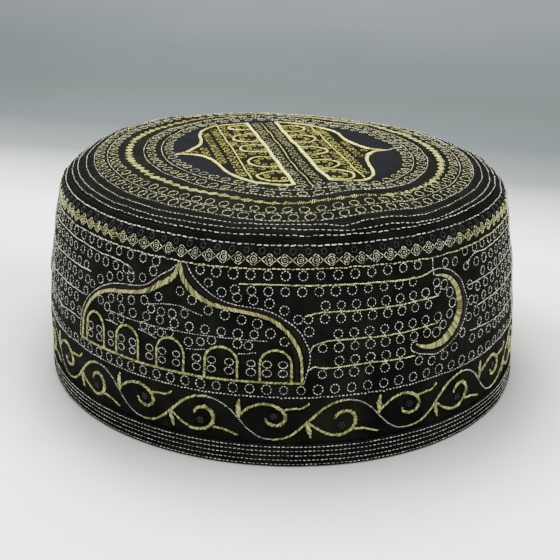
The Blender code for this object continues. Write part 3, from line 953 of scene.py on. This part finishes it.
# The crown: rows of rings, a chain of satin diamonds, and two onion domes back to back across a narrow strip.
crownRows = {
    # knots of mm along the mouth and mm up the profile, pitch, radius
    "rings": [
        ([(-110, 88.5), (0, 88), (100, 88.5), (240, 88.1)], 5.4, 1.7),
        ([(-110, 93.8), (0, 93.3), (100, 93.8), (240, 93.3)], 5.4, 1.65),
        ([(-110, 107.8), (-20, 107.8), (15, 106.8), (45, 105.2), (100, 105.7), (150, 106.2), (240, 107.6)],
         5.5, 1.7),
        ([(-110, 114.8), (-20, 114.9), (15, 112.8), (45, 110.6), (100, 110.9), (150, 111.5), (240, 114.4)],
         5.6, 1.65),
    ],
    # knots, pitch, width of the widest stitches
    "diamonds": ([(-110, 99.4), (-80, 99.3), (-50, 98.9), (-20, 98.9), (0, 98.3), (18, 97), (45, 96.9), (70, 97.7),
                  (100, 98.5), (150, 98.6), (240, 99.2)], 4.4, 4.2),
}


def diamondSatin(steps=6):
    # satin stitches across the ring whose width runs up and down between nothing and full, once for each diamond
    knots, pitch, wide = crownRows["diamonds"]
    up = rowThrough(knots)
    start, end = evenTurns(up, pitch)
    share = (np.arange(steps) + 0.5) / steps
    turn = (start[:, None] + (end - start)[:, None] * share[None, :]).ravel()
    half = 0.5 * wide * (0.16 + 0.84 * (1 - np.abs(2 * share - 1)) ** 1.1)     # hardly anything at both tips
    half = np.tile(half, len(start)) * dice.uniform(0.85, 1.15, len(turn))
    lean = (end - start).mean() * 0.10
    return np.stack([turn - lean, up(turn) - half, turn + lean, up(turn) + half], axis=-1)


crownMotif = {
    # x and y in mm seen from above
    "leftBase": [(-12.2, -47.6), (-9.4, -30), (-7, -15), (-4.6, 0), (-2.4, 15), (-0.1, 30), (2.8, 49)],
    "rightBase": [(0.4, -49.6), (3, -30), (5.3, -15), (7.5, 0), (9.7, 15), (12.3, 30), (14.8, 46)],
    "middle": [(-7.2, -52.5), (-4.1, -30), (-1.8, -15), (0.9, 0), (3.3, 15), (6, 30), (9, 48)],
    "leftUpper": [
        (-39.5, 7), (-35.6, 8.6), (-32.6, 10.8), (-29, 14.7), (-26, 19.3), (-24, 25), (-22.6, 31.5), (-20.6, 38),
        (-17.6, 43.6), (-13.5, 46.8), (-8, 48.6), (2.6, 49.3),
    ],
    "leftLower": [
        (-39.5, 7), (-35.8, 6.2), (-33, 4.5), (-30.3, 1.3), (-29, -3), (-28.6, -10), (-28.5, -17), (-28.6, -24),
        (-28, -30), (-26.4, -35), (-23.8, -39.4), (-20.6, -42.8), (-17, -45.2), (-12.4, -47.4),
    ],
    "rightLower": [
        (38, -14.6), (33.5, -14.7), (29.2, -17.6), (26.4, -22), (24.1, -27), (22.6, -32), (21.3, -37), (19.7, -42),
        (17.3, -46.6), (13.8, -49.6), (8.4, -51), (1, -49.6),
    ],
    "rightUpper": [
        (38, -14.6), (35.4, -13.2), (32.8, -10.4), (31.2, -6), (30.1, 0), (29.7, 6), (30.2, 12), (31.2, 18),
        (31.4, 24), (30, 30), (27.2, 35.6), (23.4, 40.2), (19, 44), (14.9, 46.2),
    ],
    "tipThread": [(38, -14.6), (40.5, -13.2), (43, -12.2), (46, -11.6)],
}
crownArches = {
    # y, half width, reach
    "left": [(-36, 6.4, 10.8), (-15.6, 6.8, 10.4), (4, 5.4, 10.2), (21.6, 5.8, 10), (40.4, 4.4, 9)],
    "right": [(-40.4, 7.6, 10.6), (-25, 5.4, 9.4), (-5.6, 5.6, 9.8), (14.6, 5.8, 10), (33.6, 4.8, 9.6)],
}
crownNudge = np.array([-0.4, -1.2])
# the small rings inside the domes, in mm
crownFill = {
    # where a row starts, as a share of the pitch, and how far from the base such rows lie
    "rows": ((0.5, (2.8, 7.0, 11.2, 15.4)), (0.1, (19.6, 23.8, 28.0, 32.2))),
    "pitch": 4.2, "fromEdge": 2.1, "fromArch": 1.8, "dottedAt": 13.1,
    "inArch": (2.6, 3.0, 2.9),     # those in the arches: how much narrower and lower than the arch, pitch
    "strip": (4.3, (-3.0, 2.8)),   # those in the strip: pitch, how far to both sides of its middle
}


def crownArch(base, y, half, reach, way):
    # an arch that stands on the base line and bulges away from the strip: half an ellipse on two short legs
    x = np.interp(y, base[:, 1], base[:, 0])
    slope = np.array([np.interp(y, base[:, 1], np.gradient(base[:, 0], base[:, 1])), 1.0])
    slope /= np.linalg.norm(slope)
    out = np.array([slope[1], -slope[0]]) * way
    turn = np.linspace(-np.pi / 2, np.pi / 2, 15)[:, None]
    leg = reach * 0.42
    arc = (x, y) + slope * half * np.sin(turn) + out * (leg + (reach - leg) * np.cos(turn))
    return resample(np.vstack([[(x, y) - slope * half + out * 0.5], arc, [(x, y) + slope * half + out * 0.5]]))


def crownPattern():
    line = {key: curveThrough(points) + crownNudge for key, points in crownMotif.items()}
    gold = [satinOn(line[key], [1.5, 1.6, 1.6, 1.5], 0.42, 0.6, 0.08) for key in ("leftBase", "rightBase")]
    gold += [satinOn(line[key], [0.7, 1.8, 1.5, 1.3, 1.3, 1.3, 1.4, 1.4], 0.42, 0.6, 0.08)
             for key in ("leftUpper", "leftLower", "rightUpper", "rightLower")]
    arches, small = {}, []
    narrower, lower, inArchPitch = crownFill["inArch"]
    for side, way in (("left", -1), ("right", 1)):
        arches[side] = []
        for y, half, reach in crownArches[side]:
            place = (line[side + "Base"], y + crownNudge[1])
            arches[side].append(crownArch(*place, half, reach, way))
            small.append(evenlyOn(crownArch(*place, half - narrower, reach - lower, way), inArchPitch))
    pale = [satinOn(arch, [0.95], 0.46, 0.8, 0.12) for arch in arches["left"] + arches["right"]]
    pale.append(dashesOn(line["middle"], 1.3, 0.9))
    stripPitch, stripSides = crownFill["strip"]
    strip = np.vstack([evenlyOn(besides(line["middle"], side), stripPitch) for side in stripSides])
    # inside each dome: rows that follow the base, filled with small rings wherever they have room
    domeRings = []
    for side, way in (("left", 1), ("right", -1)):
        base = line[side + "Base"]
        outline = np.vstack([line[side + "Upper"][::-1], line[side + "Lower"]])
        nearEnd = np.linalg.norm(base[0] - outline[-1]) < 8     # the base closes the outline from its nearer end
        outline = np.vstack([outline, base if nearEnd else base[::-1]])
        fill = np.vstack([evenlyOn(besides(base, offset * way), crownFill["pitch"], start)
                          for start, offsets in crownFill["rows"] for offset in offsets])
        fill = fill[insideOf(fill, outline) & (gapTo(fill, outline) > crownFill["fromEdge"])]
        fill = apart(fill, np.vstack(arches[side]), crownFill["fromArch"])
        for arch in arches[side]:
            fill = fill[~insideOf(fill, arch)]
        domeRings.append((fill, 1.4))
        dotted = besides(base, crownFill["dottedAt"] * way)
        dotted = dotted[insideOf(dotted, outline) & (gapTo(dotted, outline) > 1.6)]
        pale.append(satinOn(dotted, [0.5], 0.62, 1.4, 0.1))
    domeRings.append((np.vstack(small), 0.95))
    edges = [dashesOn(line["tipThread"], 1.4, 0.95, 0.05)]
    outline = np.vstack([line["leftUpper"][::-1], line["leftLower"], line["rightLower"][::-1], line["rightUpper"]])
    return [lay(part, onCrown) for part in (gold, pale, edges)] + [domeRings, strip, outline]


crownGold, crownPale, crownSilver, domeRings, crownStrip, crownOutline = crownPattern()
covered = insideOf(crownSpots[:, :2], crownOutline)      # under the domes and the strip the cloth isn't smooth
crownCloth.data.attributes["shade"].data.foreach_set("value", np.where(covered, 0.0, crownBare).astype(np.float32))
freeRings = []
for knots, pitch, radius in crownRows["rings"]:
    up = rowThrough(knots)
    turn = evenTurns(up, pitch)[0]
    centres = bareCap(turn, up(turn))[:, :2]
    centres = centres[~insideOf(centres, crownOutline) & (gapTo(centres, crownOutline) > 2.2)]
    freeRings.append(ringsAt(centres, radius, 9, 0.97))
sewOn("crown_ring_rows", "paleGoldRayon", lay(freeRings, onCrown), 0.19, 0.14)
inDomes = [ringsAt(spots, radius, 7, 0.97) for spots, radius in domeRings]
sewOn("crown_dome_rings", "brightGoldFoil", lay(inDomes, onCrown), 0.17, 0.09)
sewOn("crown_strip_rings", "paleGoldRayon", lay([ringsAt(crownStrip, 1.5, 7, 0.9)], onCrown), 0.14, 0.09)
sewOn("crown_diamond_satin", "brightGoldRayon", diamondSatin(), 0.29, 0.15)
sewOn("crown_dome_satin", "brightGoldFoil", crownGold, 0.38, 0.20, 0.03)
sewOn("crown_arches", "brightGoldFoil", crownPale, 0.34, 0.20)
sewOn("crown_edges", "silverRayon", crownSilver, 0.34, 0.24)
print("crown sewn")

# Floor and backdrop: one sheet of graduated studio paper, with a painted shadow that makes it a shade darker round
# the cap, white before and behind it, and grey where it curves up into a wall. Distances in metres from the cap,
# along the way that the sheet is turned.
studio = {
    "halfWidth": 2.2, "turned": 37.0, "front": -4.0, "bend": 0.55, "back": 1.5, "tall": 1.6,
    "tones": [
        # darker from -0.05 to 0.09, under the cap: a painted shadow
        (-0.16, "#fdfefd"), (-0.1, "#fafbfa"), (-0.05, "#edefed"), (0, "#d8dad8"), (0.045, "#d0d2d0"),
        (0.09, "#f0f1f0"), (0.14, "#f4f5f4"), (0.2, "#c0c3c3"), (0.275, "#666c6c"), (0.36, "#4a5051"),
        (0.5, "#434949"), (0.66, "#484e50"), (1.2, "#6e7375"),
    ],
    # the painted shadow round the cap's foot, dark by the distance from its middle as a share of the mouth's half
    # size; it is moved a little, so that it is widest in front
    "foot": [
        (0.97, "#a9aba9"), (1.09, "#bfc1bf"), (1.17, "#d6d8d6"), (1.28, "#ebedeb"), (1.41, "#fcfdfc"),
        (1.6, "#ffffff"),
    ],
    "footShadowShift": (0.010, 0.026, 0.0),
}


def makeBackdrop():
    # floor line, a quarter circle, and the wall line, carried from side to side; the paper's tone goes by the
    # length along it
    turn = np.linspace(0, np.pi / 2, 24)
    radius = studio["back"] - studio["bend"]
    floor = np.linspace(studio["front"], 0.5, 22)
    y = np.concatenate([floor, studio["bend"] + radius * np.sin(turn), [studio["back"]]])
    z = np.concatenate([0.0 * floor, radius - radius * np.cos(turn), [studio["tall"]]])
    length = studio["front"] + np.append(0.0, np.cumsum(np.hypot(np.diff(y), np.diff(z))))
    sides = [np.full(len(y), side * studio["halfWidth"]) for side in (-1, 1)]
    points = np.concatenate([np.stack([x, y, z], axis=-1) for x in sides])
    uv = np.concatenate([np.stack([x, length], axis=-1) for x in sides])
    cos, sin = np.cos(np.radians(studio["turned"])), np.sin(np.radians(studio["turned"]))
    points[:, :2] = points[:, :2] @ np.array([[cos, -sin], [sin, cos]])
    k, n = np.arange(len(y) - 1), len(y)
    made, tree = startMaterial("matt graduated studio paper with painted shadow")
    sheet = addNode(tree, "UVMap", uv_map="flat")
    along = addNode(tree, "SeparateXYZ", links={"Vector": (sheet, "UV")})
    first, span = studio["tones"][0][0], studio["tones"][-1][0] - studio["tones"][0][0]
    share = maths(tree, "MULTIPLY_ADD", {1: 1 / span, 2: -first / span}, {0: (along, "Y")})
    tone = colourRamp(tree, share, "Value", [((place - first) / span, code) for place, code in studio["tones"]])
    fibre = addNode(tree, "TexNoise", {"Scale": 5.0, "Detail": 3.0}, {"Vector": (sheet, "UV")})
    cloudy = colourRamp(tree, fibre, "Fac", [(0.3, "#f4f4f4"), (0.7, "#ffffff")])
    where = addNode(tree, "TexCoord")
    # half the shares, because a ramp ends at 1
    halves = (1000 / cap["halfWidth"] / 2, 1000 / cap["halfLength"] / 2, 1.0)
    # how far from the cap's middle, for the painted shadow round its foot
    reach = addNode(tree, "VectorMath", {1: halves, 2: studio["footShadowShift"]}, {0: (where, "Object")},
                    operation="MULTIPLY_ADD")
    away = addNode(tree, "VectorMath", links={0: (reach, "Vector")}, operation="LENGTH")
    foot = colourRamp(tree, away, "Value", [(share / 2, code) for share, code in studio["foot"]])
    both = {"data_type": "RGBA", "blend_type": "MULTIPLY"}
    colour = addNode(tree, "Mix", {"Factor": 1.0}, {6: (tone, "Color"), 7: (cloudy, "Color")}, **both)
    # the painted shadow round the cap's foot is multiplied onto the paper
    shaded = addNode(tree, "Mix", {"Factor": 1.0}, {6: (colour, 2), 7: (foot, "Color")}, **both)
    endMaterial(tree, {"Roughness": 0.8, "Specular IOR Level": 0.2}, {"Base Color": (shaded, 2)})
    return makeMesh("studio_paper", points * 1000, np.stack([n + k, n + k + 1, k + 1, k], axis=-1), made, uv)


makeBackdrop()

lights = {
    # place and aim in metres, size of the round soft box, watts, tint
    "overBehind": ((0.16, 0.75, 1.05), (0.0, 0.0, 0.04), 0.7, 30.0, (1.0, 1.0, 0.99)),
    "overLeft": ((-0.70, 0.26, 1.05), (0.0, 0.0, 0.04), 0.7, 7.0, (1.0, 1.0, 0.99)),
    "overRight": ((0.70, -0.26, 1.05), (0.0, 0.0, 0.04), 0.7, 8.5, (1.0, 1.0, 0.99)),
    "over": ((0.02, 0.0, 1.0), (0.02, 0.0, 0.04), 1.3, 20.0, (1.0, 1.0, 1.0)),
    "front": ((0.05, -1.50, 0.50), (0.0, 0.0, 0.03), 1.0, 10.0, (1.0, 1.0, 0.98)),
}
for name, (place, aim, size, watts, tint) in lights.items():
    lamp = bpy.data.lights.new(name, "AREA")
    lamp.shape, lamp.size, lamp.energy, lamp.color = "DISK", size, watts, tint
    way = np.array(aim) - np.array(place)
    putInScene(name, lamp, place, (np.arctan2(np.hypot(way[0], way[1]), -way[2]), 0.0, np.arctan2(-way[0], way[1])))

world = bpy.data.worlds.new("studio air")
bpy.context.scene.world = world
world.use_nodes = True
world.node_tree.nodes["Background"].inputs["Color"].default_value = fromHex("#eef1f2")
world.node_tree.nodes["Background"].inputs["Strength"].default_value = 1.0
print("studio lit")

for piece, node, slot in ((crownCloth, "crown", "crown_cloth"), (bandCloth, "side_band", "band_cloth"),
                          (hemCloth, "hem_band", "hem_cloth")):
    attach(piece, "root")
    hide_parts(node)
for piece in threadPieces:
    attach(piece, "root")

triangles = {piece.name: sum(len(p.vertices) - 2 for p in piece.data.polygons)
             for piece in threadPieces + [hemCloth, bandCloth, crownCloth]}
print("triangles", triangles, "in all", sum(triangles.values()))
